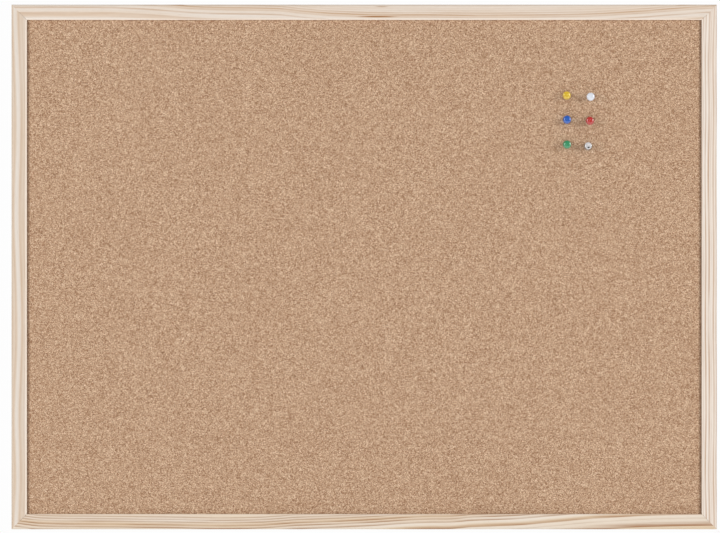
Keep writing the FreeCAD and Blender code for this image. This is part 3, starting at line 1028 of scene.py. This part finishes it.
def head_profile():
    """Half outline of a pin head: flange, concave skirt, waist, and a disc with a small gate dimple."""
    r, w, d, h = FLANGE_RADIUS, WAIST_RADIUS, DISC_RADIUS, HEAD_HEIGHT
    foot = [(NEEDLE_RADIUS, 0.0), (1.6, 0.0), (2.2, 0.12), (3.7, 0.12), (4.2, 0.0)]
    side = [
        (4.2, 0.0), (r - 0.1, 0.22), (r, 0.7), (r - 0.12, 1.2), (4.15, 1.62),
        (3.4, 2.15), (w + 0.35, 3.0), (w + 0.02, 4.4), (w, 5.6), (w + 0.08, 7.4), (w + 0.22, 8.7),
        (w + 0.55, 9.5), (d - 0.5, 10.1), (d - 0.06, 10.6), (d, 11.0), (d - 0.01, 11.45),
        (d - 0.06, 11.72), (d - 0.24, h - 0.55), (3.1, h - 0.26), (2.55, h - 0.1), (2.05, h - 0.025),
        (1.5, h),
    ]
    crown = [(1.5, h), (0.95, h), (0.8, h - 0.04), (0.66, h - 0.12), (0.35, h - 0.15), (0.0, h - 0.15)]
    return foot[:-1] + curve_through(side, 5) + curve_through(crown, 3)[1:]


def make_head(colour, material):
    """The head with the needle's socket inside, so that plastic and steel meet face to face."""
    flange, axis = PIN_POSES[colour]
    profile = [(0.0, NEEDLE_IN_HEAD), (NEEDLE_RADIUS, NEEDLE_IN_HEAD)] + head_profile()
    piece = add_object(f"push_pin_{colour}_head", lathe(profile, 56), 50.0, pin_matrix(flange, axis))
    finish_piece(piece, material, f"pin_{colour}_head", f"pin_{colour}")


def make_needle(colour, material):
    """The steel needle, its point drawn out to a blunt tip."""
    flange, axis = PIN_POSES[colour]
    r, blunt, steps = NEEDLE_RADIUS - 0.004, 0.05, 10
    profile = [(0.0, -NEEDLE_BARE)]
    for i in range(steps + 1):
        swell = math.sin(math.pi / 2 * i / steps) ** 1.25
        profile.append((blunt + (r - blunt) * swell, -NEEDLE_BARE + NEEDLE_TIP * i / steps))
    profile += [(r, -3.0), (r, 0.0), (r, NEEDLE_IN_HEAD - 0.1)]
    profile += [(r - 0.1, NEEDLE_IN_HEAD), (0.0, NEEDLE_IN_HEAD)]
    piece = add_object(f"push_pin_{colour}_needle", lathe(profile, 32), 40.0, pin_matrix(flange, axis))
    finish_piece(piece, material, f"pin_{colour}_needle", f"pin_{colour}")


def pin_matrix(flange, axis):
    """From a pin's own frame, standing on its flange along +Z, to its place in the board."""
    return Matrix.Translation(flange) @ Vector((0, 0, 1)).rotation_difference(axis).to_matrix().to_4x4()


# ---------------- putting it together


def dress(node, material):
    """A CAD node keeps its shape and gets a better material."""
    piece = bpy.data.objects[node]
    piece.data.materials.clear()
    piece.data.materials.append(material)


make_rails()
make_cork(cork_material())
dress("softboard_core", softboard_material())
dress("hardboard_back", hardboard_material())
make_v_nails(metal_material("galvanised_steel", srgb(166, 170, 174), srgb(120, 124, 130), 0.42, 0.9))
zinc = metal_material("bright_zinc_plate", srgb(206, 208, 212), srgb(168, 172, 180), 0.30, 1.4, (9, 1, 1))
brassy = metal_material("yellow_passivated_zinc", srgb(206, 190, 140), srgb(176, 158, 128), 0.28, 0.8)
for side in PLATES:
    make_hanger(side, zinc, brassy)

TINTS = {  # the colour of a pin's plastic, and the deeper one in its swirls
    "yellow": (srgb(216, 182, 50), srgb(200, 162, 34)),
    "white": (srgb(218, 221, 228), srgb(206, 210, 220)),
    "blue": (srgb(36, 94, 182), srgb(20, 64, 146)),
    "red": (srgb(184, 52, 48), srgb(158, 36, 34)),
    "green": (srgb(58, 146, 100), srgb(38, 118, 76)),
}
plastics = {colour: plastic_material(f"{colour}_plastic", *tints) for colour, tints in TINTS.items()}
plastics["clear"] = clear_material(PIN_POSES["clear"][0] + PIN_POSES["clear"][1] * HEAD_HEIGHT)
needle_steel = needle_material()
for colour in COLOURS:
    make_head(colour, plastics[colour])
    make_needle(colour, needle_steel)


# ---------------- floor, light and camera


def make_floor():
    """A plain pale floor, below the board that hangs on its wall."""
    half, drop = 8000.0, 900.0
    bm = bmesh.new()
    for x, y in ((-half, -half), (half, -half), (half, half), (-half, half)):
        bm.verts.new((x, y, CENTRE_Z - drop))
    bm.verts.ensure_lookup_table()
    bm.faces.new(bm.verts)
    floor = add_object("floor", bm)
    s = Shader("pale_floor")
    at = s.place()
    haze = s.noise(at, 0.004, 3.0)
    colour = s.ramp(haze, [(0.2, srgb(246, 246, 246)), (0.8, srgb(250, 250, 250))])
    glow = {"Emission_Color": (1.0, 1.0, 1.0), "Emission_Strength": 0.02}
    floor.data.materials.append(s.surface(Base_Color=colour, Roughness=0.8, Specular_IOR_Level=0.1, **glow))


def make_light(name, place, target, size, watts):
    """A rectangular softbox aimed at a target, in metres."""
    data = bpy.data.lights.new(name, "AREA")
    data.shape = "RECTANGLE"
    data.size, data.size_y = size
    data.energy = watts
    light = bpy.data.objects.new(name, data)
    bpy.context.scene.collection.objects.link(light)
    light.location = place
    aim = Vector(target) - Vector(place)
    light.rotation_euler = aim.to_track_quat("-Z", "Y").to_euler()


def make_world(camera_level, light_level, mirrored_level):
    """White where the camera sees it, a softer even fill elsewhere, and dim in the gloss of the pins."""
    world = bpy.data.worlds.new("white_room")
    bpy.context.scene.world = world
    world.use_nodes = True
    tree = world.node_tree
    background = tree.nodes["Background"]
    background.inputs["Color"].default_value = (1, 1, 1, 1)
    path = tree.nodes.new("ShaderNodeLightPath")
    fill = tree.nodes.new("ShaderNodeMapRange")
    fill.inputs["To Min"].default_value = light_level
    fill.inputs["To Max"].default_value = mirrored_level
    tree.links.new(path.outputs["Is Glossy Ray"], fill.inputs["Value"])
    level = tree.nodes.new("ShaderNodeMapRange")
    level.inputs["To Max"].default_value = camera_level
    tree.links.new(fill.outputs["Result"], level.inputs["To Min"])
    tree.links.new(path.outputs["Is Camera Ray"], level.inputs["Value"])
    tree.links.new(level.outputs["Result"], background.inputs["Strength"])


def make_camera():
    """Straight on, a little left of the board's middle, so that the board stands right of the picture's."""
    distance = 4.5
    picture_width = 0.8163  # what the picture spans at the frame's front face
    aside, above = -0.0048, 0.0005
    data = bpy.data.cameras.new("camera")
    camera = bpy.data.objects.new("camera", data)
    bpy.context.scene.collection.objects.link(camera)
    data.sensor_width = 36.0
    data.lens = data.sensor_width * distance / picture_width
    data.clip_end = 40.0
    camera.location = (aside, FRONT_Y * MM - distance, CENTRE_Z * MM + above)
    camera.rotation_euler = (math.pi / 2, 0, 0)
    bpy.context.scene.camera = camera


make_floor()
MIDDLE = Vector((0.0, 0.0, CENTRE_Z * MM))
for side, way in (("left", -1), ("right", 1)):
    front_place = MIDDLE + Vector((way * 2.0, FRONT_Y * MM - 2.05, 0.55))
    make_light(f"softbox_front_{side}", front_place, MIDDLE, (1.0, 1.4), 27.5)
    rear_place = MIDDLE + Vector((way * 1.3, 1.7, 0.5))
    make_light(f"softbox_rear_{side}", rear_place, MIDDLE, (1.1, 1.4), 20.0)
make_world(camera_level=0.985, light_level=0.6, mirrored_level=0.12)
make_camera()
bpy.context.scene.view_settings.view_transform = "Standard"
